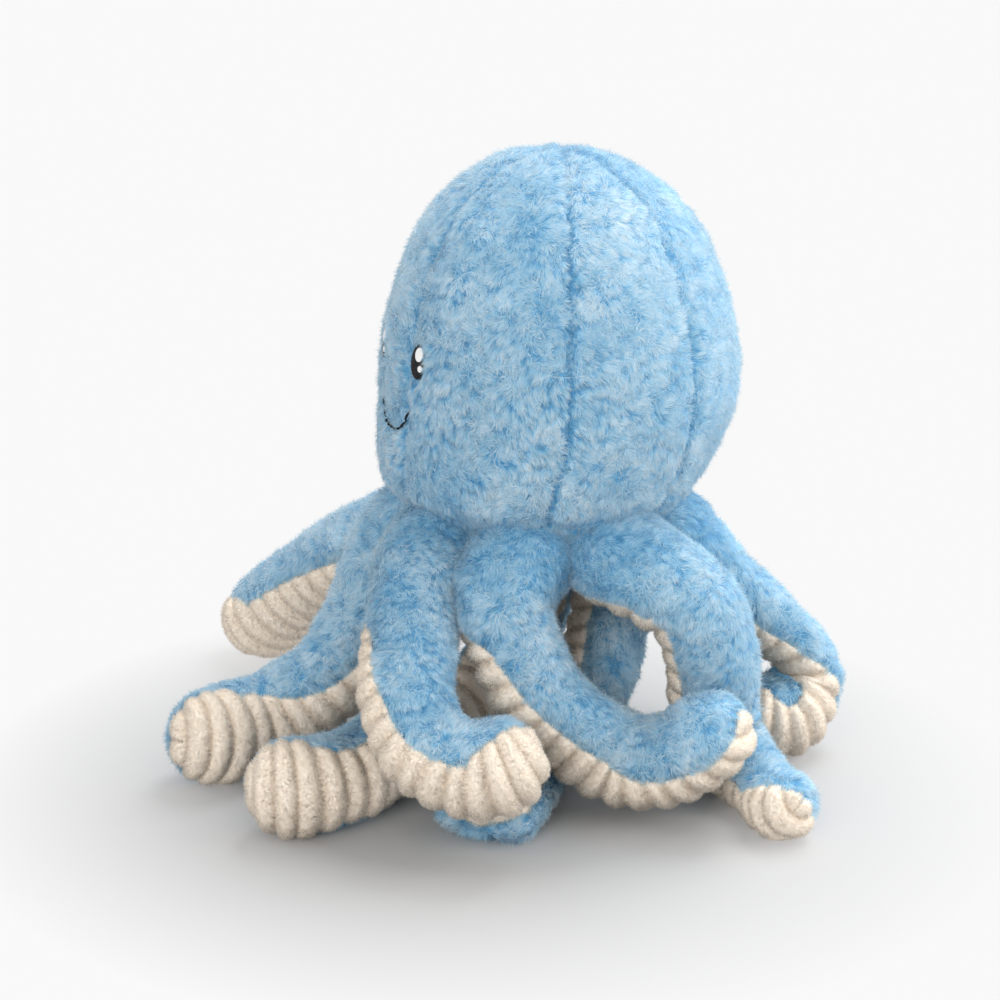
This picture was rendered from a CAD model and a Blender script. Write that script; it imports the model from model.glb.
"""A plush octopus: sewn skins with their pile, ribbed undersides, stitched eyes and smile."""

import math

import bpy
import numpy as np
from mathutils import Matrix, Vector


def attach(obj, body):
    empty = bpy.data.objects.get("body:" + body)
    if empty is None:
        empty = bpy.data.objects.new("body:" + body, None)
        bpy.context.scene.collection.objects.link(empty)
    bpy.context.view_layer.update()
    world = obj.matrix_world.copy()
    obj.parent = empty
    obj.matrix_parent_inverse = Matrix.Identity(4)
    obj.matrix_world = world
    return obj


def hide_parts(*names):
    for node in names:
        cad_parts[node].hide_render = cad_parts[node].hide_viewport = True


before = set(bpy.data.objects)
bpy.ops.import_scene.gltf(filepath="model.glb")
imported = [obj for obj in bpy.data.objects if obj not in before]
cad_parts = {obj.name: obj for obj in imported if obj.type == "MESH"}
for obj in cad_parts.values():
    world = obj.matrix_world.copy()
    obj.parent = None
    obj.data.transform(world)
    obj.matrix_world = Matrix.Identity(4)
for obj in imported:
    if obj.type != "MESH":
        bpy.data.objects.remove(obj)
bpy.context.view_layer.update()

# Where the toy stands: the CAD's own middle, moved so that the origin is under its box
STAND = np.array((0.01735, 0.02144, 0.0))

# Head, as in the CAD
HEAD_RADIUS = 0.0840
HEAD_HALF_HEIGHT = 0.1045
HEAD_CENTRE_HEIGHT = 0.1870
HEAD_LEAN = 0.0085
NECK_HEIGHT = 0.1333
CROWN_ANGLE = 87.0
GORE_SEAMS = (16.0, 77.0, 122.0, 180.0, 240.0, 300.0)
BASE_RADIUS = 0.0620

# Arms, as in the CAD
ARM_HALF_WIDTH = 0.0220
ARM_REACH = 0.2000
ROOT_HEIGHT = 0.1120
ROOT_RADIUS = 0.0210
ROOT_RING = 0.0560
ROOT_HEADING = 19.0
SEAT_REACH = 0.0030
FLOOR_FLAT = 0.0005
RIB_HALF_ANGLE = 54.0
PLAIN_TIP_ARMS = (2, 5)

# Cloth of the arms and the head
DOWN = np.array((0.0, 0.0, -1.0))
CLOTH_THICKNESS = 0.0012
SKIN_DEPTH = 0.0020         # the backing lies this deep in the space of the CAD's cloth
SEAM_DIP = 0.0012
PRESSED_BELOW = 0.0012      # cloth lower than this is pressed flat
LOWEST_CLOTH = 0.0004
ROW_STEP = 0.0013
PLUSH_COLUMNS = 61
RIBBED_COLUMNS = 49
ROOT_CAPS = np.arange(-76.0, 0.0, 5.0)      # degrees of the rows over the rounded root
TIP_CAPS = np.arange(2.0, 89.0, 2.0)        # and over the rounded tip
SHOULDER = 0.0040           # how much fuller the arms are at the root
TIP_OPENING = 30.0          # degrees that the ribbed panel widens on each side by the tip
TIP_OPENING_REACH = 0.016
TIP_TILT = 0.75             # how steeply the seam crosses the back of a tip
CLOSED_HALF_ANGLE = 174.0   # past this the ribbed panel covers the tip
GORE_ROWS = 142
GORE_COLUMN_STEP = 0.85     # degrees
NECK_TUCK = 0.0022
CROWN_SWELL = 0.0036

# Ribs
RIB_PITCH = 0.0120
RIB_HEIGHT = 0.0038
RIB_DEPTH = 0.0026          # how deep the grooves lie
RIB_SWELL = 0.0006
RIB_FAN = 1.3               # the lower, the more the ribs fan over a tip

# Pile and nap
PILE_LENGTH = 0.0058
PILE_PER_SQUARE_MM = 4.2
LOCK_SIZE = 0.0032
WIDE_SWIRL = 0.030
FINE_SWIRL = 0.0080
STRAY_SHARE = 0.12          # hairs that stand up out of their lock
HAIR_BEND = 0.45            # where a hair bends over, as a share of its length
HAIR_HALF_WIDTH = 0.00016
HAIR_WIDTH_SPREAD = 0.00014
HAIR_ROOT_DEPTH = 0.0006
NAP_LENGTH = 0.0022
NAP_PER_SQUARE_MM = 5.0
NAP_HALF_WIDTH = 0.00026
NAP_ROOT_DEPTH = 0.0003
LOWEST_NAP = 0.0003

# The pile in the crease between the head and the arms
CREASE_RADIUS = 0.0510
CREASE_FLARE = 0.0150
CREASE_FOOT = 0.1140
CREASE_HEIGHT = 0.0215

# Face, as in the CAD
FACE_HEADING = 7.0
EYE_ANGLE = 15.1
EYE_LEVEL = 0.2050
EYE_WIDTH = 0.0106
EYE_HEIGHT = 0.0165
GLINT_WIDTH = 0.0054
GLINT_HEIGHT = 0.0066
SMALL_GLINT_WIDTH = 0.0032
SMALL_GLINT_HEIGHT = 0.0032
MOUTH_LEVEL = 0.1695
MOUTH_HALF_WIDTH = 0.0172
MOUTH_DROP = 0.0120
MOUTH_BEND = 3.2

# Satin stitches of the eyes
STITCH_WIDTH = 0.00055
STITCH_RELIEF = 0.00013

# Each oval's middle in shares of the eye, its size, how deep its edge sinks, lift, dome, thread
EYE_OVALS = (
    ("", 0.0, 0.0, (EYE_WIDTH, EYE_HEIGHT), -0.0030, -0.0010, 0.0013, "black"),
    ("_glint", 0.15, 0.21, (GLINT_WIDTH, GLINT_HEIGHT), -0.0008, 0.0003, 0.0006, "white"),
    ("_small_glint", 0.29, -0.17, (SMALL_GLINT_WIDTH, SMALL_GLINT_HEIGHT),
     -0.0008, 0.0, 0.0004, "white"),
)

# Colours
DEEP_BLUE = (0.080, 0.315, 0.540, 1.0)
SKY_BLUE = (0.365, 0.610, 0.740, 1.0)
PALE_BLUE = (0.860, 0.885, 0.885, 1.0)
SEAM_BLUE = (0.200, 0.450, 0.640, 1.0)
BLUE_THROUGH = (0.45, 0.67, 0.79, 1.0)      # light that comes through the pile
DEEP_CREAM = (0.760, 0.640, 0.500, 1.0)
CREAM = (0.920, 0.830, 0.720, 1.0)
PALE_CREAM = (0.980, 0.930, 0.850, 1.0)
CREAM_THROUGH = (0.92, 0.86, 0.79, 1.0)     # and through the nap
FILLING_GREY = (0.72, 0.73, 0.74, 1.0)
FILLING_WHITE = (0.95, 0.95, 0.94, 1.0)
BLACK_THREAD = (0.006, 0.006, 0.007, 1.0), (0.020, 0.020, 0.023, 1.0)
WHITE_THREAD = (0.72, 0.72, 0.72, 1.0), (0.86, 0.86, 0.85, 1.0)

# Studio
WHITE = (1.0, 1.0, 1.0, 1.0)
BACKDROP = (0.947, 0.947, 0.947, 1.0)
FLOOR_GREY = (0.49, 0.49, 0.49, 1.0)
FLOOR_MIDDLE = (0.048, -0.013, 0.0)
FLOOR_PLAIN_RADIUS = 0.11
FLOOR_FADE = 7.0            # share of the backdrop that each metre past that radius adds
ROOM_LIGHT = 0.63
LAMP_TARGET = (0.0, 0.0, 0.14)
LAMPS = (                   # name, place, size and power
    ("key_softbox", (-0.50, 0.60, 1.20), 0.9, 13.6),
    ("side_softbox", (0.38, 1.04, 0.60), 1.0, 8.0),
    ("front_softbox", (1.1, -0.9, 0.60), 1.0, 9.0),
)
CAMERA_PLACE = (1.1207, -0.2947, 0.4758)
CAMERA_TARGET = (0.0123, 0.0023, 0.125)

# Which way each arm's rib side faces at its root: heading and tilt
ROOT_RIB_SIDES = (
    (-165, -50), (-116, -50), (-30, -80), (10, -75), (19, 0), (64, 0), (109, -60), (156, -50),
)

# Each arm's route from its root, as in the CAD: heading, distance out as a share of the
# reach, height as a share of the root's, half width and half thickness as shares of the
# arm's, and the heading and tilt of its rib side
ARM_PATH_SHARES = (
    (
        (31, 0.420, 0.870, 0.91, 0.91, -110, -40),
        (40, 0.527, 0.717, 0.93, 0.93, -37, -20),
        (46, 0.620, 0.580, 0.95, 0.93, 8, -26),
        (53, 0.681, 0.450, 0.98, 0.93, 46, -37),
        (60, 0.688, 0.390, 1.00, 0.93, 75, -36),
        (66, 0.683, 0.400, 1.00, 0.93, 96, -31),
    ),
    (
        (60, 0.353, 0.870, 0.89, 0.89, -75, -40),
        (66, 0.395, 0.700, 0.89, 0.89, -10, -20),
        (75, 0.415, 0.500, 0.90, 0.90, 13, -23),
        (86, 0.432, 0.353, 0.91, 0.91, 29, -33),
        (96, 0.458, 0.258, 0.91, 0.91, 64, -49),
        (104, 0.520, 0.252, 0.90, 0.90, 100, -53),
        (112, 0.620, 0.400, 0.88, 0.86, 140, -40),
    ),
    (
        (114, 0.387, 0.955, 1.00, 0.93, -2, -71),
        (122, 0.468, 0.850, 1.02, 0.93, -33, -31),
        (128, 0.494, 0.640, 1.00, 0.91, -38, -7),
        (133, 0.480, 0.390, 0.94, 0.88, -30, -5),
        (135, 0.497, 0.223, 0.83, 0.83, -5, -35),
        (127, 0.622, 0.136, 0.68, 0.68, 40, -45),
        (120, 0.762, 0.132, 0.68, 0.66, 62, -20),
    ),
    (
        (159, 0.391, 0.833, 0.88, 0.86, 26, -65),
        (164, 0.525, 0.620, 0.77, 0.70, 18, -45),
        (166, 0.632, 0.430, 0.75, 0.58, 30, -25),
        (165, 0.655, 0.275, 0.78, 0.58, 75, -22),
        (160, 0.599, 0.178, 0.90, 0.84, 75, -25),
        (158, 0.519, 0.182, 0.91, 0.91, 75, -20),
    ),
    (
        (186, 0.198, 0.607, 0.86, 0.86, -20, 12),
        (120, 0.156, 0.295, 0.82, 0.82, -60, 45),
        (72, 0.295, 0.172, 0.80, 0.72, -60, 80),
        (64, 0.467, 0.098, 1.00, 0.50, 75, 88),
        (62, 0.570, 0.082, 1.07, 0.44, 75, 88),
    ),
    (
        (257, 0.180, 0.589, 0.86, 0.86, 70, 12),
        (-35, 0.117, 0.295, 0.86, 0.86, 85, 48),
        (12, 0.268, 0.185, 0.89, 0.89, 105, 28),
        (23, 0.449, 0.185, 0.91, 0.91, 108, 8),
        (30, 0.640, 0.184, 0.95, 0.93, 96, 6),
        (28, 0.768, 0.187, 1.00, 0.95, 78, 10),
    ),
    (
        (-58, 0.557, 0.741, 0.94, 0.93, 106, -29),
        (-57, 0.771, 0.477, 1.00, 0.93, 88, -21),
        (-56, 0.970, 0.184, 1.00, 0.93, 75, -13),
    ),
    (
        (-19, 0.383, 0.772, 0.91, 0.91, -175, -46),
        (-14, 0.440, 0.550, 0.91, 0.89, 140, -45),
        (-6, 0.531, 0.345, 0.95, 0.91, 105, -45),
        (-5, 0.670, 0.200, 1.00, 0.95, 80, -5),
        (1, 0.812, 0.194, 1.00, 0.95, 75, 12),
    ),
)


# Numbers on many points at once

def unit(vectors):
    return vectors / np.maximum(np.linalg.norm(vectors, axis=-1, keepdims=True), 1e-12)


def dot(a, b):
    return np.sum(a * b, axis=-1, keepdims=True)


def square_to(vectors, axis):
    """What is left of each vector across its axis."""
    return vectors - dot(vectors, axis) * axis


def run_along(line):
    """How far along a line of points each one lies."""
    return np.concatenate(([0.0], np.cumsum(np.linalg.norm(np.diff(line, axis=0), axis=1))))


def smooth_step(low, high, value):
    share = np.clip((value - low) / (high - low), 0.0, 1.0)
    return share * share * (3.0 - 2.0 * share)


def compass(heading, tilt=0.0):
    """A unit vector: heading turns from -Y toward +X, tilt rises from level."""
    turn = np.radians(heading)
    rise = np.radians(tilt)
    level = np.cos(rise)
    return np.stack(np.broadcast_arrays(
        np.sin(turn) * level, -np.cos(turn) * level, np.sin(rise)), axis=-1)


def lattice(cells, seed):
    """One random number from 0 to 1 for each whole-numbered cell."""
    mixed = cells.astype(np.int64)
    total = mixed[..., 0] * 73856093 ^ mixed[..., 1] * 19349663 ^ mixed[..., 2] * 83492791
    total = (total ^ (seed * 2654435761)) & 0xFFFFFFFF
    total = (total ^ (total >> 15)) * 2246822519 & 0xFFFFFFFF
    total = (total ^ (total >> 13)) * 3266489917 & 0xFFFFFFFF
    return ((total ^ (total >> 16)) & 0xFFFFFF) / 16777215.0


def drift(points, size, seed):
    """Smooth noise from -1 to 1 with lumps of this size."""
    place = points / size
    cell = np.floor(place)
    part = place - cell
    part = part * part * (3.0 - 2.0 * part)
    total = 0.0
    for corner in np.ndindex(2, 2, 2):
        step = np.array(corner)
        weight = np.prod(np.where(step, part, 1.0 - part), axis=-1)
        total = total + weight * lattice(cell + step, seed)
    return total * 2.0 - 1.0


def drift_way(points, size, seed):
    return np.stack([drift(points, size, seed + k * 101) for k in range(3)], axis=-1)


# Sheets: grids of points with what the pile needs

class Sheet:
    """A grid of points over a cloth, rows along it and columns across."""

    def __init__(self, points):
        self.points = points
        self.normals = grid_normals(points)
        self.comb = self.normals                     # which way the pile is stroked
        self.length = np.ones(points.shape[:2])      # how long the pile stands, as a share
        self.shade = np.full(points.shape[:2], 0.5)  # from deep to pale

    def offset(self, heights):
        self.points = self.points + self.normals * heights[..., None]
        self.normals = grid_normals(self.points)

    def press(self):
        """Cloth that would reach under the floor lies on it."""
        low = self.points[..., 2]
        over = np.maximum(low - LOWEST_CLOTH / 2.0, 0.0)
        flat = np.minimum(LOWEST_CLOTH + over * over / PRESSED_BELOW * 0.6, PRESSED_BELOW)
        self.points[..., 2] = np.where(low < PRESSED_BELOW, flat, low)
        self.normals = grid_normals(self.points)

    def cut(self, rows):
        """Keep this many rows, counted from the first."""
        for field in ("points", "normals", "comb", "length", "shade"):
            setattr(self, field, getattr(self, field)[:rows])


def grid_normals(points):
    """Every sheet's columns run so that this points to its right side."""
    along = np.gradient(points, axis=0)
    across = np.gradient(points, axis=1)
    return unit(np.cross(across, along))


def grid_faces(rows, columns, first=0):
    i, j = np.meshgrid(np.arange(rows - 1), np.arange(columns - 1), indexing="ij")
    at = (first + i * columns + j).ravel()
    return np.stack((at, at + 1, at + columns + 1, at + columns), axis=1)


def tube_faces(rings, spokes, first):
    """Four-cornered faces from each closed ring of points to the next."""
    i, j = np.meshgrid(np.arange(rings - 1), np.arange(spokes), indexing="ij")
    k = (j + 1) % spokes
    at = first + i * spokes
    return np.stack((at + j, at + spokes + j, at + spokes + k, at + k), axis=-1).reshape(-1, 4)


def fan_faces(pole, spokes, first):
    """Three-cornered faces from one point to a closed ring."""
    j = np.arange(spokes)
    return np.stack((np.full_like(j, pole), first + j, first + (j + 1) % spokes), axis=1)


def mesh_piece(name, verts, face_arrays, material, shade=None, normals=None):
    """A mesh from arrays: each array of faces has its own number of corners."""
    mesh = bpy.data.meshes.new(name)
    corners = np.concatenate([faces.ravel() for faces in face_arrays])
    sizes = np.concatenate([np.full(len(faces), faces.shape[1]) for faces in face_arrays])
    mesh.vertices.add(len(verts))
    mesh.vertices.foreach_set("co", np.ascontiguousarray(verts, dtype=np.float32).ravel())
    mesh.loops.add(len(corners))
    mesh.loops.foreach_set("vertex_index", corners.astype(np.int32))
    mesh.polygons.add(len(sizes))
    starts = np.concatenate(([0], np.cumsum(sizes)[:-1]))
    mesh.polygons.foreach_set("loop_start", starts.astype(np.int32))
    mesh.polygons.foreach_set("use_smooth", np.ones(len(sizes), dtype=bool))
    if shade is not None:
        layer = mesh.attributes.new("shade", "FLOAT", "POINT")
        layer.data.foreach_set("value", np.ascontiguousarray(shade, dtype=np.float32).ravel())
    mesh.update(calc_edges=True)
    if normals is not None:
        layer = mesh.attributes.new("custom_normal", "FLOAT_VECTOR", "POINT")
        layer.data.foreach_set("vector", np.ascontiguousarray(normals, dtype=np.float32).ravel())
        mesh.update()
    mesh.materials.append(material)
    piece = bpy.data.objects.new(name, mesh)
    bpy.context.scene.collection.objects.link(piece)
    return piece


def cloth_piece(name, sheet, material):
    """A closed cloth with a right side, a wrong side and turned edges."""
    rows, columns = sheet.points.shape[:2]
    count = rows * columns
    back = sheet.points - sheet.normals * CLOTH_THICKNESS
    verts = np.concatenate((sheet.points.reshape(-1, 3), back.reshape(-1, 3)))
    front_faces = grid_faces(rows, columns)
    back_faces = grid_faces(rows, columns, count)[:, ::-1]
    rim = np.concatenate((
        np.arange(columns - 1),
        np.arange(rows - 1) * columns + columns - 1,
        (rows - 1) * columns + np.arange(columns - 1, 0, -1),
        np.arange(rows - 1, 0, -1) * columns,
    ))
    ahead = np.roll(rim, -1)
    edge_faces = np.stack((ahead, rim, rim + count, ahead + count), axis=1)
    faces = np.concatenate((front_faces, back_faces, edge_faces))
    shade = np.concatenate((sheet.shade.ravel(), sheet.shade.ravel()))
    return mesh_piece(name, verts, [faces], material, shade)


# Pile

def scatter(sheet, per_square_mm, seed):
    """Random places on a sheet, evenly by area, with what the sheet holds there."""
    rng = np.random.default_rng(seed)
    p = sheet.points
    side = p[1:, :-1] - p[:-1, :-1]
    run = p[:-1, 1:] - p[:-1, :-1]
    square_mm = np.linalg.norm(np.cross(side, run), axis=-1) * 1e6
    wanted = square_mm * per_square_mm
    count = np.floor(wanted + rng.random(wanted.shape)).astype(int)
    i, j = np.nonzero(count)
    i, j = np.repeat(i, count[i, j]), np.repeat(j, count[i, j])
    a, b = rng.random(len(i))[:, None], rng.random(len(i))[:, None]

    def blend(field):
        return ((1 - a) * (1 - b) * field[i, j] + a * (1 - b) * field[i + 1, j]
                + (1 - a) * b * field[i, j + 1] + a * b * field[i + 1, j + 1])

    length = blend(sheet.length[..., None])[:, 0]
    shade = blend(sheet.shade[..., None])[:, 0]
    return blend(p), unit(blend(sheet.normals)), unit(blend(sheet.comb)), length, shade, rng


def nearest_lock(points, size, seed):
    """The middle of the lock that each hair belongs to, and that lock's own number."""
    place = points / size
    cell = np.floor(place)
    best = np.full(len(points), np.inf)
    middle = np.zeros_like(points)
    owner = np.zeros(len(points))
    for step in np.ndindex(3, 3, 3):
        near = cell + (np.array(step) - 1)
        spot = near + np.stack([lattice(near, seed + k) for k in range(3)], axis=-1)
        gap = np.sum((spot - place) ** 2, axis=-1)
        closer = gap < best
        best = np.where(closer, gap, best)
        middle = np.where(closer[:, None], spot, middle)
        owner = np.where(closer, lattice(near, seed + 7), owner)
    return middle * size, owner


def soft_piece(name, verts, corners, lowest, material, shade, normals):
    """Hairs so fine that light goes through them: only the cloth under them casts a shadow.

    Each row of verts is one hair, and corners gives the triangles of a hair.
    """
    count, points = verts.shape[:2]
    verts[..., 2] = np.maximum(verts[..., 2], lowest)
    faces = (np.arange(count)[:, None, None] * points + np.array(corners)).reshape(-1, 3)
    piece = mesh_piece(name, verts.reshape(-1, 3), [faces], material, shade,
                       normals.reshape(-1, 3))
    piece.visible_shadow = False
    return piece


def pile_piece(name, sheet, material, seed):
    """Soft blades of pile that lie over with the comb and close up into locks."""
    root, normal, comb, share, tint, rng = scatter(sheet, PILE_PER_SQUARE_MM, seed)
    count = len(root)
    lock, owner = nearest_lock(root, LOCK_SIZE, seed=11)
    swirl = (drift_way(lock, WIDE_SWIRL, seed=5) * 0.7
             + drift_way(lock, FINE_SWIRL, seed=9) * 1.5)
    own = rng.normal(size=(count, 3))
    lean = unit(square_to(comb * 0.7 + swirl + own * 0.42, normal))
    length = PILE_LENGTH * share * (0.74 + 0.30 * owner + 0.32 * rng.random(count))
    length = length[:, None]

    # Each hair stands up from its root, bends over and draws toward the middle of its lock
    stray = rng.random(count) < STRAY_SHARE
    stand = (0.50 + 0.26 * rng.random(count) + 0.20 * (owner - 0.5) + 0.60 * stray)[:, None]
    draw = square_to(lock - root, normal)
    rise = unit(normal * (stand + 0.34) + lean)
    fall = unit(normal * (stand - 0.36) + lean)
    middle = root + rise * length * HAIR_BEND + draw * 0.12
    tip = middle + fall * length * (1.0 - HAIR_BEND) + draw * 0.30
    aside = unit(np.cross(tip - root, normal))
    aside = unit(aside + normal * rng.normal(size=(count, 1)) * 0.35)
    width = HAIR_HALF_WIDTH + HAIR_WIDTH_SPREAD * rng.random((count, 1))
    width = width * (0.5 + 0.5 * share[:, None]) * (1.0 - 0.35 * stray[:, None])
    root = root - normal * HAIR_ROOT_DEPTH
    verts = np.stack((root, middle - aside * width, middle + aside * width, tip), axis=1)

    # The light falls on the lock as a whole more than on each hair
    soft = normal - draw / LOCK_SIZE * 0.9 + own * 0.12
    at_root, at_middle, at_tip = (unit(soft + lean * bend) for bend in (-0.15, 0.10, 0.45))
    normals = np.stack((at_root, at_middle, at_middle, at_tip), axis=1)

    # Paler on a lock's ridge and at the tips, deeper between locks and at the roots
    ridge = 1.0 - (np.linalg.norm(draw, axis=1) / (LOCK_SIZE * 0.62)) ** 2
    tone = tint + 0.20 * (owner - 0.5) + 0.48 * (ridge - 0.5) + rng.normal(size=count) * 0.09
    tone = tone + 0.03 * drift(root, 0.020, seed=21) + 0.11 * drift(root, 0.0060, seed=22)
    shade = tone[:, None] + np.array((-0.46, -0.04, -0.04, 0.26))
    return soft_piece(name, verts, ((0, 2, 1), (1, 2, 3)), LOWEST_CLOTH, material, shade, normals)


def nap_piece(name, sheet, material, seed):
    """The short nap of the ribbed cloth."""
    root, normal, _, _, tint, rng = scatter(sheet, NAP_PER_SQUARE_MM, seed)
    count = len(root)
    own = rng.normal(size=(count, 3))
    way = unit(square_to(own, normal))
    length = NAP_LENGTH * (0.6 + 0.6 * rng.random((count, 1)))
    tip = root + (normal * 0.75 + way * 0.75) * length
    aside = unit(np.cross(way, normal) + normal * 0.1) * NAP_HALF_WIDTH
    root = root - normal * NAP_ROOT_DEPTH
    verts = np.stack((root - aside, root + aside, tip), axis=1)
    ruffle = drift_way(root, 0.0016, seed=24)
    soft = unit(normal + own * 0.13 + ruffle * 0.55)
    normals = np.stack((soft, soft, unit(soft + way * 0.30)), axis=1)
    tone = tint + rng.normal(size=count) * 0.15 + 0.36 * drift(root, 0.0015, seed=23)
    shade = tone[:, None] + np.array((-0.10, -0.10, 0.12))
    return soft_piece(name, verts, ((0, 1, 2),), LOWEST_NAP, material, shade, normals)


# Arms

def root_middle(number):
    heading = ROOT_HEADING + 360.0 / len(ARM_PATH_SHARES) * number
    return compass(heading) * ROOT_RING + np.array((0.0, 0.0, ROOT_HEIGHT))


def arm_stations(number):
    """An arm's rows in metres: middle, half width, half thickness and rib side."""
    rows = [[*root_middle(number), ROOT_RADIUS, ROOT_RADIUS, *compass(*ROOT_RIB_SIDES[number])]]
    for heading, out, height, width, thickness, rib_heading, rib_tilt in ARM_PATH_SHARES[number]:
        middle = compass(heading) * (out * ARM_REACH) + np.array((0.0, 0.0, height * ROOT_HEIGHT))
        rows.append([*middle, width * ARM_HALF_WIDTH, thickness * ARM_HALF_WIDTH,
                     *compass(rib_heading, rib_tilt)])
    return np.array(rows)


def smooth_route(rows, step):
    """A smooth run through the rows, with a station about every step."""
    gaps = np.linalg.norm(np.diff(rows[:, :3], axis=0), axis=1) ** 0.5
    slopes = np.zeros_like(rows)
    rates = np.diff(rows, axis=0) / gaps[:, None]
    before, after = gaps[:-1, None], gaps[1:, None]
    slopes[1:-1] = (rates[:-1] * after + rates[1:] * before) / (before + after)
    slopes[0] = 2.0 * rates[0] - slopes[1]
    slopes[-1] = 2.0 * rates[-1] - slopes[-2]
    dense = [rows[:1]]
    s = (np.arange(1, 49) / 48.0)[:, None]
    for i, run in enumerate(gaps):
        dense.append(
            (2 * s ** 3 - 3 * s ** 2 + 1) * rows[i] + (s ** 3 - 2 * s ** 2 + s) * run * slopes[i]
            + (3 * s ** 2 - 2 * s ** 3) * rows[i + 1] + (s ** 3 - s ** 2) * run * slopes[i + 1])
    dense = np.concatenate(dense)
    length = run_along(dense[:, :3])
    goals = np.linspace(0.0, length[-1], max(8, int(length[-1] / step)) + 1)
    return np.stack([np.interp(goals, length, column) for column in dense.T], axis=1)


def seat_on_floor(middle, drop):
    """How far each stretch near the floor comes down onto it, pressed a little flat."""
    lowest = middle[:, 2] - drop
    shift = np.where(lowest < SEAT_REACH, lowest + FLOOR_FLAT, 0.0)
    weight = np.exp(-(np.arange(-9, 10) / 4.5) ** 2)
    padded = np.pad(shift, 9, mode="edge")
    shift = np.convolve(padded, weight / weight.sum(), mode="valid")
    start = len(shift) // 3
    shift[:start] *= smooth_step(0.0, 1.0, np.linspace(0.0, 1.0, start))
    return shift


class Arm:
    """One arm's sections from the rounded root, along the route, over the rounded tip."""

    def __init__(self, number):
        self.number = number + 1
        route = smooth_route(arm_stations(number), ROW_STEP)
        middle, width, thick = route[:, :3].copy(), route[:, 3], route[:, 4]
        ahead = unit(np.gradient(middle, axis=0))
        rib = unit(square_to(route[:, 5:], ahead))
        side = np.cross(ahead, rib)
        drop = np.hypot(rib[:, 2] * thick, side[:, 2] * width)
        middle[:, 2] -= seat_on_floor(middle, drop)
        where = np.concatenate((
            np.zeros(len(ROOT_CAPS), dtype=int), np.arange(len(route)),
            np.full(len(TIP_CAPS), len(route) - 1)))
        self.cap = np.concatenate((ROOT_CAPS, np.zeros(len(route)), TIP_CAPS))
        self.last = int(np.flatnonzero(self.cap == 0.0)[-1])
        self.middle = middle[where] + STAND
        self.along = run_along(self.middle)
        self.ahead, self.rib, self.side = ahead[where], rib[where], side[where]
        self.width, self.thick = width[where], thick[where]
        self.half = self.rib_half_angles()

    def rib_half_angles(self):
        """How far round each section the ribbed panel reaches, from its middle to its seam."""
        if self.number in PLAIN_TIP_ARMS:
            return np.full(len(self.cap), RIB_HALF_ANGLE)
        left = np.maximum(self.along[self.last] - self.along, 0.0)
        opening = TIP_OPENING * smooth_step(TIP_OPENING_REACH, 0.0, left)
        level = np.cos(np.radians(RIB_HALF_ANGLE + opening))
        tip = np.radians(np.maximum(self.cap, 0.0))
        seam = (level - TIP_TILT * np.sin(tip)) / np.cos(tip)
        return np.degrees(np.arccos(np.clip(seam, -1.0, 1.0)))

    def surface(self, turn):
        """Points of the bare section at these angles, one row of angles for each section."""
        turn = np.radians(turn)
        shrink = np.cos(np.radians(self.cap))[:, None, None]
        reach = np.minimum(self.width, self.thick) * np.sin(np.radians(self.cap))
        rib = self.rib[:, None] * (np.cos(turn) * self.thick[:, None])[..., None]
        side = self.side[:, None] * (np.sin(turn) * self.width[:, None])[..., None]
        out = self.middle[:, None] + (rib + side) * shrink
        return out + self.ahead[:, None] * reach[:, None, None]

    def rib_run(self, turn):
        """How far along the ribbed cloth each point lies: the ribs fan round the tip."""
        run = run_along(self.surface(np.zeros((len(self.cap), 1)))[:, 0])
        run = np.minimum(run, run[self.last])[:, None]
        cap = np.radians(np.maximum(self.cap, 0.0))[:, None]
        fan = np.arctan2(np.sin(cap), np.cos(cap) * np.cos(np.radians(turn)) + RIB_FAN)
        return run + fan * (1.0 + RIB_FAN) * self.thick[-1]


def rib_relief(length, across, seed):
    """Rounded ribs over the panel, each a little unlike the next."""
    wander = drift(np.stack((length, across * 0.4, np.full_like(length, seed)), axis=-1),
                   0.013, seed=31)
    phase = length / RIB_PITCH + wander * 0.10
    number = np.floor(phase)
    part = np.abs(2.0 * (phase - number) - 1.0)
    tall = lattice(np.stack((number, np.full_like(number, seed), number * 0), axis=-1), seed=3)
    round_top = np.cos(part * np.pi / 2.0) ** 0.8
    return round_top * (0.86 + 0.26 * tall), part


def ribbed_sheet(arm):
    across = np.linspace(-1.0, 1.0, RIBBED_COLUMNS)[None] * np.ones((len(arm.cap), 1))
    turn = across * arm.half[:, None]
    sheet = Sheet(arm.surface(turn))
    ribs, part = rib_relief(arm.rib_run(turn), across * ARM_HALF_WIDTH, arm.number)
    edge = (1.0 - np.abs(across) ** 6.0) ** 0.5
    relief = RIB_HEIGHT * ribs * (0.35 + 0.65 * edge)
    sheet.offset(relief - RIB_DEPTH + RIB_SWELL * (1.0 - across ** 2))
    sheet.press()
    groove = 1.0 - smooth_step(0.70, 1.0, part)
    sheet.shade = 0.22 + 0.52 * groove * (0.78 + 0.22 * edge)
    return sheet


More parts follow.
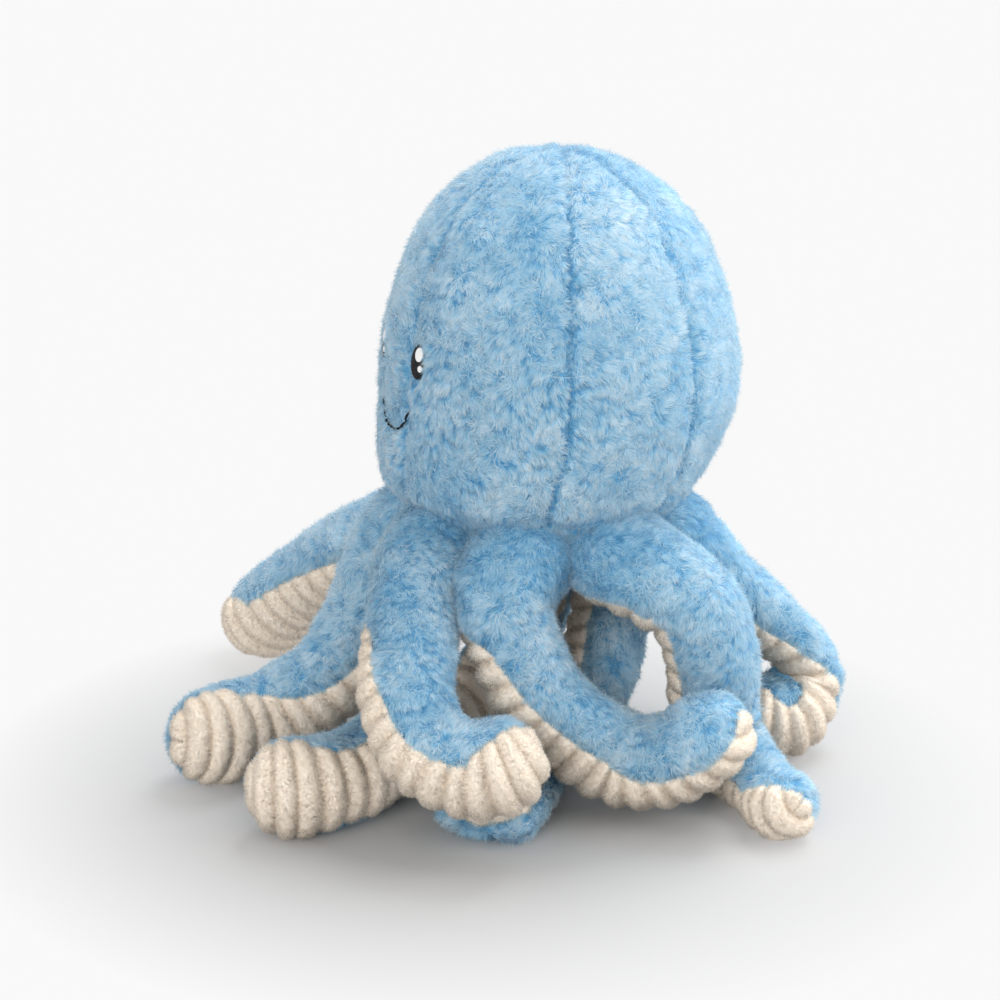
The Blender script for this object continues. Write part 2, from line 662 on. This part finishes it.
def plush_sheet(arm):
    share = np.linspace(0.0, 1.0, PLUSH_COLUMNS)[None] * np.ones((len(arm.cap), 1))
    span = 360.0 - 2.0 * arm.half[:, None]
    points = arm.surface(arm.half[:, None] + share * span)
    sheet = Sheet(points)
    gap = np.minimum(share, 1.0 - share) * (np.radians(span) * arm.width[:, None])
    lumps = drift(points, 0.021, seed=41) * 0.0010 + drift(points, 0.009, seed=42) * 0.0005
    dip = SEAM_DIP * np.exp(-(gap / 0.0026) ** 2)
    shoulder = SHOULDER * smooth_step(0.048, 0.012, arm.along)[:, None]
    sheet.offset(lumps - dip - SKIN_DEPTH + shoulder)
    sheet.press()
    outward = unit(np.gradient(sheet.points, axis=1)) * np.sign(share - 0.5)[..., None]
    overhang = 1.5 * np.exp(-(gap / 0.0055) ** 2)[..., None]
    sheet.comb = unit(arm.ahead[:, None] * 0.9 + DOWN * 0.6) + outward * overhang
    sheet.length = 0.74 + 0.26 * smooth_step(0.0, 0.010, gap)
    root = 0.24 * smooth_step(0.034, 0.010, arm.along)[:, None]
    sheet.shade = np.clip(0.5 + lumps / 0.0070 - root, 0.1, 0.8)
    sheet.cut(int(np.flatnonzero(arm.half < CLOSED_HALF_ANGLE)[-1]) + 1)
    return sheet


# Head

def head_surface(heading, latitude, depth=0.0):
    cosine, sine = np.cos(np.radians(latitude)), np.sin(np.radians(latitude))
    height = HEAD_CENTRE_HEIGHT + (HEAD_HALF_HEIGHT - depth) * sine
    climb = np.clip((height - NECK_HEIGHT) / (HEAD_CENTRE_HEIGHT - NECK_HEIGHT), 0.0, 1.0)
    lean = HEAD_LEAN * climb * climb * (3.0 - 2.0 * climb)
    out = compass(heading) * ((HEAD_RADIUS - depth) * cosine)[..., None]
    out[..., 1] += lean
    out[..., 2] = height
    return out + STAND


def trimmed_face(heading, latitude):
    """How long the pile stands near the eyes and the smile, as a share."""
    off_face = (heading - FACE_HEADING + 180.0) % 360.0 - 180.0
    across = np.radians(off_face) * HEAD_RADIUS * np.cos(np.radians(latitude))
    up = HEAD_CENTRE_HEIGHT + HEAD_HALF_HEIGHT * np.sin(np.radians(latitude))
    share = np.ones(heading.shape)
    for sign in (-1.0, 1.0):
        middle = sign * math.radians(EYE_ANGLE) * HEAD_RADIUS
        oval = np.hypot((across - middle) / (EYE_WIDTH * 0.5),
                        (up - EYE_LEVEL) / (EYE_HEIGHT * 0.5))
        share = np.minimum(share, 0.10 + 0.90 * smooth_step(0.84, 1.45, oval))
    reach = np.minimum(np.abs(across) / MOUTH_HALF_WIDTH, 1.0)
    bow = MOUTH_LEVEL + MOUTH_DROP * reach ** MOUTH_BEND
    slope = MOUTH_DROP / MOUTH_HALF_WIDTH * MOUTH_BEND * reach ** (MOUTH_BEND - 1.0)
    off = np.abs(up - bow) / np.sqrt(1.0 + slope ** 2)
    beyond = np.maximum(np.abs(across) - MOUTH_HALF_WIDTH, 0.0)
    kept = 0.36 + 0.46 * reach ** 2.5
    grown = smooth_step(0.0003, 0.0018, np.hypot(off, beyond))
    share = np.minimum(share, kept + (1.0 - kept) * grown)
    muzzle = np.hypot(across / 0.030, (up - 0.178) / 0.034)
    return share * (0.82 + 0.18 * smooth_step(0.6, 1.3, muzzle))


def gore_sheet(start, end):
    """One gore of the head, from the seam at start to the seam at end."""
    lowest = -math.degrees(math.asin((HEAD_CENTRE_HEIGHT - NECK_HEIGHT) / HEAD_HALF_HEIGHT))
    latitude = np.linspace(lowest - 3.0, CROWN_ANGLE + 2.7, GORE_ROWS)
    share = np.linspace(0.0, 1.0, int((end - start) / GORE_COLUMN_STEP))
    heading, latitude = np.meshgrid(start + (end - start) * share, latitude)
    points = head_surface(heading, latitude)
    sheet = Sheet(points)
    ring = HEAD_RADIUS * np.cos(np.radians(latitude))
    gap = np.minimum(heading - start, end - heading) * np.pi / 180.0 * ring
    above = points[..., 2] - NECK_HEIGHT

    lumps = (drift(points, 0.032, seed=51) * 0.0012 + drift(points, 0.014, seed=52) * 0.0007
             + drift(points, 0.007, seed=53) * 0.0003)
    dip = 0.0020 * np.exp(-(gap / 0.0028) ** 2) + 0.0008 * np.exp(-(gap / 0.009) ** 2)
    dip = dip * (1.0 - 0.5 * smooth_step(80.0, 87.0, latitude))
    tuck = NECK_TUCK * smooth_step(0.008, -0.003, above)
    plump = CROWN_SWELL * smooth_step(15.0, 62.0, latitude)
    sheet.offset(lumps - dip - tuck - SKIN_DEPTH + plump)

    aside = compass(heading + 90.0)
    parted = np.sign(heading - (start + end) / 2.0)[..., None] * aside
    parted = -parted * np.exp(-(gap / 0.006) ** 2)[..., None] * 0.9
    sheet.comb = DOWN + drift_way(points, 0.05, seed=61) * 0.45 + parted + aside * 0.15
    crown = smooth_step(79.0, 85.0, latitude)
    sheet.length = 0.48 + 0.52 * np.maximum(smooth_step(0.0, 0.005, gap), crown)
    sheet.length = sheet.length * trimmed_face(heading, latitude)
    sheet.length = sheet.length * (0.66 + 0.34 * smooth_step(-0.002, 0.012, above))
    crease = 0.55 * np.exp(-(gap / 0.0016) ** 2) + 0.22 * np.exp(-(above / 0.0060) ** 2)
    sheet.shade = np.clip(0.5 + lumps / 0.0085 - crease, 0.0, 0.85)
    return sheet


# Eyes and smile

def face_point(across, up, lift):
    latitude = np.degrees(np.arcsin((up - HEAD_CENTRE_HEIGHT) / HEAD_HALF_HEIGHT))
    heading = np.degrees(across / (HEAD_RADIUS * np.cos(np.radians(latitude))))
    return head_surface(FACE_HEADING + heading, latitude, -lift)


def stitched_oval(node, middle, size, sink, lift, dome, material):
    """An embroidered oval: a low dome of satin stitches laid side by side."""
    rings, spokes = 26, 96
    across, up = middle
    width, height = size
    r, turn = np.meshgrid(np.linspace(0.0, 1.0, rings)[1:],
                          np.linspace(0.0, 2.0 * np.pi, spokes, endpoint=False), indexing="ij")
    x = across + r * np.cos(turn) * width * 0.5
    y = up + r * np.sin(turn) * height * 0.5
    stitch = STITCH_RELIEF * np.abs(np.sin(np.pi * (y - up) / STITCH_WIDTH))
    rise = lift + dome * np.sqrt(np.maximum(1.0 - r ** 2.6, 0.0)) + stitch * (1.0 - r ** 8)
    centre = np.array([[across]]), np.array([[up]])
    verts = np.concatenate([part.reshape(-1, 3) for part in (
        face_point(*centre, np.array([[lift + dome]])),
        face_point(x, y, rise),
        face_point(x[-1:], y[-1:], np.full((1, spokes), sink)),
        face_point(*centre, np.array([[sink]])),
    )])
    last_ring = 1 + (rings - 1) * spokes
    piece = mesh_piece(f"{node}_satin", verts, [
        fan_faces(0, spokes, 1),
        tube_faces(rings, spokes, 1),
        fan_faces(len(verts) - 1, spokes, last_ring)[:, ::-1],
    ], material)
    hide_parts(node)
    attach(piece, "head")


def smile(material):
    """Backstitches end to end along the smile, each dipping into the cloth at its ends."""
    stitches, steps, sides = 9, 14, 10
    turn = np.linspace(0.0, 2.0 * np.pi, sides, endpoint=False)[None, :, None]
    bow = np.sin(np.linspace(0.0, np.pi, steps + 1))
    fat = (0.00022 + 0.00034 * bow ** 0.5)[:, None, None]
    verts, quads, ends = [], [], []
    for n in range(stitches):
        share = (n + np.linspace(0.03, 0.97, steps + 1)) / stitches * 2.0 - 1.0
        across = MOUTH_HALF_WIDTH * share
        up = MOUTH_LEVEL + MOUTH_DROP * np.abs(share) ** MOUTH_BEND
        line = face_point(across, up, -0.0020 + 0.0017 * bow ** 0.6)
        ahead = unit(np.gradient(line, axis=0))
        out = compass(FACE_HEADING + np.degrees(across / HEAD_RADIUS))
        out = unit(square_to(out, ahead))
        aside = np.cross(ahead, out)
        ring = out[:, None] * np.cos(turn) + aside[:, None] * np.sin(turn)
        first = sum(len(points) for points in verts)
        pole = first + (steps + 1) * sides
        verts += [(line[:, None] + ring * fat).reshape(-1, 3), line[[0, -1]]]
        quads.append(tube_faces(steps + 1, sides, first))
        ends.append(fan_faces(pole, sides, first))
        ends.append(fan_faces(pole + 1, sides, pole - sides)[:, ::-1])
    faces = [np.concatenate(quads), np.concatenate(ends)]
    piece = mesh_piece("smile_stitches", np.concatenate(verts), faces, material)
    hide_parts("mouth_stitch")
    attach(piece, "head")


# Shader maths

class Wire:
    """A shader socket that takes part in sums."""

    def __init__(self, nodes, socket):
        self.nodes = nodes
        self.socket = socket

    def _sum(self, operation, *values):
        return self.nodes.node("ShaderNodeMath", {"operation": operation}, dict(enumerate(values)))

    def __add__(self, other):
        return self._sum("ADD", self, other)

    __radd__ = __add__

    def __sub__(self, other):
        return self._sum("SUBTRACT", self, other)

    def __rsub__(self, other):
        return self._sum("SUBTRACT", other, self)

    def __mul__(self, other):
        return self._sum("MULTIPLY", self, other)

    __rmul__ = __mul__

    def clamped(self):
        return self.nodes.node("ShaderNodeClamp", {}, {"Value": self})


class Nodes:
    """A node tree under construction."""

    def __init__(self, tree):
        self.tree = tree

    def node(self, kind, settings=None, inputs=None, output=0):
        """One node: its settings first, then the values or links of its sockets."""
        made = self.tree.nodes.new(kind)
        for key, value in (settings or {}).items():
            if key == "stops":
                self._stops(made.color_ramp, value)
            else:
                setattr(made, key, value)
        for key, value in (inputs or {}).items():
            if isinstance(value, Wire):
                self.tree.links.new(value.socket, made.inputs[key])
            else:
                made.inputs[key].default_value = value
        return Wire(self, made.outputs[output])

    @staticmethod
    def _stops(ramp, stops):
        while len(ramp.elements) < len(stops):
            ramp.elements.new(0.5)
        for element, (place, colour) in zip(ramp.elements, stops):
            element.position = place
            element.color = colour

    def end_in(self, output, wire):
        """What the tree shows: the shader that reaches its output node."""
        self.tree.links.new(wire.socket, self.tree.nodes[output].inputs[0])

    def place(self):
        return self.node("ShaderNodeTexCoord", output="Object")

    def shade(self):
        return self.node("ShaderNodeAttribute", {"attribute_name": "shade"}, output="Fac")

    def noise(self, scale, detail, **more):
        return self.node("ShaderNodeTexNoise", {}, {
            "Vector": self.place(), "Scale": scale, "Detail": detail, **more})


class Finish(Nodes):
    """A material under construction."""

    def __init__(self, name, **constants):
        self.material = bpy.data.materials.new(name)
        self.material.use_nodes = True
        super().__init__(self.material.node_tree)
        self.shader = self.tree.nodes["Principled BSDF"]
        for socket, value in constants.items():
            self.shader.inputs[socket.replace("_", " ")].default_value = value

    def feed(self, socket, wire):
        self.tree.links.new(wire.socket, self.shader.inputs[socket])

    def bump(self, height, strength, distance):
        self.feed("Normal", self.node("ShaderNodeBump", {}, {
            "Height": height, "Strength": strength, "Distance": distance}))

    def grain(self, strands, low, high, strength, distance):
        """Fine strands in two colours that also roughen the surface."""
        self.feed("Base Color", self.node(
            "ShaderNodeMix", {"data_type": "RGBA"}, {0: strands, 6: low, 7: high}, output=2))
        self.bump(strands, strength, distance)

    def tint(self, scale, spread, stops):
        """Colours by the piece's own shade, a little uneven from patch to patch."""
        patch = self.noise(scale, 3.0) * spread - spread / 2.0
        share = (self.shade() + patch).clamped()
        self.feed("Base Color", self.node("ShaderNodeValToRGB", {"stops": stops}, {"Fac": share}))

    def mix_with(self, share, other):
        """Another shader takes this share of the surface."""
        own = Wire(self, self.shader.outputs[0])
        self.end_in("Material Output", self.node(
            "ShaderNodeMixShader", {}, {0: share, 1: own, 2: other}))

    def let_light_through(self, share, colour):
        """Some of the light goes through each thin hair and shows on its other side."""
        self.mix_with(share, self.node("ShaderNodeBsdfTranslucent", {}, {"Color": colour}))


def pile_finish():
    finish = Finish("sky_blue_pile", Roughness=0.85, Specular_IOR_Level=0.15, Sheen_Weight=0.8,
                    Sheen_Roughness=0.32, Sheen_Tint=(0.92, 0.97, 1.0, 1.0))
    finish.tint(70.0, 0.12, ((0.0, DEEP_BLUE), (0.5, SKY_BLUE), (1.0, PALE_BLUE)))
    finish.let_light_through(0.42, BLUE_THROUGH)
    return finish.material


def backing_finish():
    finish = Finish("blue_backing", Roughness=0.95, Specular_IOR_Level=0.1, Sheen_Weight=0.3)
    finish.grain(finish.noise(900.0, 4.0), DEEP_BLUE, SEAM_BLUE, 0.6, 0.0008)
    return finish.material


def ribbed_finish(name, fine, through=0.0):
    """The cream cloth of the ribs, or its nap where light goes through."""
    finish = Finish(name, Roughness=0.9, Specular_IOR_Level=0.15, Sheen_Weight=0.35,
                    Sheen_Roughness=0.5, Sheen_Tint=(1.0, 0.97, 0.92, 1.0))
    finish.tint(60.0, 0.3, ((0.0, DEEP_CREAM), (0.45, CREAM), (1.0, PALE_CREAM)))
    finish.bump(finish.noise(fine, 5.0), 0.3, 0.0006)
    if through:
        finish.let_light_through(through, CREAM_THROUGH)
    return finish.material


def filling_finish():
    finish = Finish("white_filling", Roughness=0.95, Sheen_Weight=0.4)
    strands = finish.noise(420.0, 6.0, Distortion=2.5)
    finish.grain(strands, FILLING_GREY, FILLING_WHITE, 0.8, 0.0015)
    return finish.material


def thread_finish(name, dark, light):
    finish = Finish(name, Roughness=0.60, Specular_IOR_Level=0.12)
    finish.grain(finish.noise(700.0, 3.0), dark, light, 0.35, 0.0003)
    return finish.material


# Putting it together

def settle(pieces, body):
    """Say which of the record's materials the pieces are of, and what carries them."""
    for piece in pieces:
        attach(piece, body)


def make_filling(node, material, body):
    """Lumpy filling in the space that the CAD keeps for it."""
    piece = bpy.data.objects.new(f"{node}_lumps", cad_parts[node].data.copy())
    bpy.context.scene.collection.objects.link(piece)
    mesh = piece.data
    mesh.materials.clear()
    mesh.materials.append(material)
    places = np.empty(len(mesh.vertices) * 3, dtype=np.float32)
    normals = np.empty(len(mesh.vertices) * 3, dtype=np.float32)
    mesh.vertices.foreach_get("co", places)
    mesh.vertex_normals.foreach_get("vector", normals)
    places, normals = places.reshape(-1, 3), normals.reshape(-1, 3)
    lumps = drift(places.astype(float), 0.012, seed=71)[:, None] * 0.0008 - 0.0010
    mesh.vertices.foreach_set("co", (places + normals * lumps).astype(np.float32).ravel())
    mesh.update()
    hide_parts(node)
    settle([piece], body)


def make_arm(number, finishes):
    arm = Arm(number)
    body = f"arm_{arm.number}"
    sheet = plush_sheet(arm)
    skin = cloth_piece(f"{body}_plush_cloth", sheet, finishes["backing"])
    pile = pile_piece(f"{body}_plush_pile", sheet, finishes["pile"], 100 + number)
    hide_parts(f"{body}_plush_panel")
    settle([skin, pile], body)
    sheet = ribbed_sheet(arm)
    ribs = cloth_piece(f"{body}_ribbed_cloth", sheet, finishes["ribbed"])
    nap = nap_piece(f"{body}_ribbed_nap", sheet, finishes["nap"], 200 + number)
    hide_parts(f"{body}_ribbed_panel")
    settle([ribs, nap], body)
    make_filling(f"{body}_stuffing", finishes["filling"], body)


def make_head(finishes):
    ends = GORE_SEAMS[1:] + (GORE_SEAMS[0] + 360.0,)
    for number, (start, end) in enumerate(zip(GORE_SEAMS, ends), 1):
        sheet = gore_sheet(start, end)
        skin = cloth_piece(f"head_gore_{number}_cloth", sheet, finishes["backing"])
        pile = pile_piece(f"head_gore_{number}_pile", sheet, finishes["pile"], 300 + number)
        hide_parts(f"head_gore_{number}")
        settle([skin, pile], "head")
    make_filling("head_stuffing", finishes["filling"], "head")


def make_base(finishes):
    """The round of cloth under the head, and the pile that fills the crease above the arms."""
    out, turn = np.meshgrid(
        np.linspace(0.02, 1.0, 30), np.linspace(0.0, 360.0, 120), indexing="ij")
    points = compass(turn) * (out * BASE_RADIUS)[..., None] + STAND
    points[..., 2] += NECK_HEIGHT + 0.0015 - 0.0012 * drift(points, 0.02, seed=81)
    panel = cloth_piece("head_base_cloth", Sheet(points), finishes["backing"])
    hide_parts("body_base_panel")

    climb, turn = np.meshgrid(
        np.linspace(0.0, 1.0, 24), np.linspace(0.0, 360.0, 361), indexing="ij")
    points = compass(turn) * (CREASE_RADIUS + CREASE_FLARE * climb)[..., None] + STAND
    points[..., 2] += CREASE_FOOT + CREASE_HEIGHT * climb
    crease = Sheet(points)
    crease.comb = np.broadcast_to(DOWN, points.shape)
    crease.shade = np.full(points.shape[:2], 0.30)
    lining = cloth_piece("neck_crease_cloth", crease, finishes["backing"])
    pile = pile_piece("neck_crease_pile", crease, finishes["pile"], 400)
    settle([panel, lining, pile], "head")


def make_face(finishes):
    for side, sign in (("left", 1.0), ("right", -1.0)):
        across = sign * math.radians(EYE_ANGLE) * HEAD_RADIUS
        for part, aside, above, size, sink, lift, dome, thread in EYE_OVALS:
            middle = across + EYE_WIDTH * aside, EYE_LEVEL + EYE_HEIGHT * above
            stitched_oval(f"eye_{side}{part}", middle, size, sink, lift, dome, finishes[thread])
    smile(finishes["black"])


def make_floor():
    """A pale floor that fades into the backdrop."""
    bpy.ops.mesh.primitive_plane_add(size=6.0, location=(0.0, 0.0, 0.0))
    floor = bpy.context.object
    floor.name = "studio_floor"
    finish = Finish("pale_floor", Base_Color=FLOOR_GREY, Roughness=0.8, Specular_IOR_Level=0.1)
    away = finish.node("ShaderNodeVectorMath", {"operation": "DISTANCE"},
                       {0: finish.place(), 1: FLOOR_MIDDLE}, output="Value")
    fade = ((away - FLOOR_PLAIN_RADIUS) * FLOOR_FADE).clamped()
    finish.mix_with(fade, finish.node("ShaderNodeEmission", {}, {"Color": BACKDROP}))
    floor.data.materials.append(finish.material)


def make_surroundings():
    """Even white light from all round. The camera, and gloss, see the backdrop in its place."""
    world = bpy.data.worlds.new("studio")
    bpy.context.scene.world = world
    world.use_nodes = True
    sky = Nodes(world.node_tree)
    camera, gloss, through = (sky.node("ShaderNodeLightPath", output=f"Is {ray} Ray")
                              for ray in ("Camera", "Glossy", "Transmission"))
    seen = (camera + gloss + through).clamped()
    lit = sky.node("ShaderNodeBackground", {}, {"Color": WHITE, "Strength": ROOM_LIGHT})
    backdrop = sky.node("ShaderNodeBackground", {}, {"Color": BACKDROP})
    sky.end_in("World Output", sky.node(
        "ShaderNodeMixShader", {}, {0: seen, 1: lit, 2: backdrop}))


def aim(thing, place, target):
    thing.location = place
    thing.rotation_euler = (Vector(target) - Vector(place)).to_track_quat("-Z", "Y").to_euler()
    bpy.context.scene.collection.objects.link(thing)


def make_lamps():
    for name, place, size, power in LAMPS:
        lamp = bpy.data.lights.new(name, "AREA")
        lamp.shape = "DISK"
        lamp.size = size
        lamp.energy = power
        aim(bpy.data.objects.new(name, lamp), place, LAMP_TARGET)


def make_camera():
    lens = bpy.data.cameras.new("camera")
    lens.lens = 90.0
    lens.sensor_width = 36.0
    lens.clip_start = 0.05
    camera = bpy.data.objects.new("camera", lens)
    aim(camera, CAMERA_PLACE, CAMERA_TARGET)
    bpy.context.scene.camera = camera


def main():
    bpy.context.scene.view_settings.view_transform = "Standard"
    finishes = {
        "pile": pile_finish(),
        "backing": backing_finish(),
        "ribbed": ribbed_finish("cream_ribs", 520.0),
        "nap": ribbed_finish("cream_nap", 700.0, through=0.5),
        "filling": filling_finish(),
        "black": thread_finish("black_satin_thread", *BLACK_THREAD),
        "white": thread_finish("white_satin_thread", *WHITE_THREAD),
    }
    make_head(finishes)
    make_base(finishes)
    make_face(finishes)
    for number in range(len(ARM_PATH_SHARES)):
        make_arm(number, finishes)
    make_floor()
    make_surroundings()
    make_lamps()
    make_camera()


main()
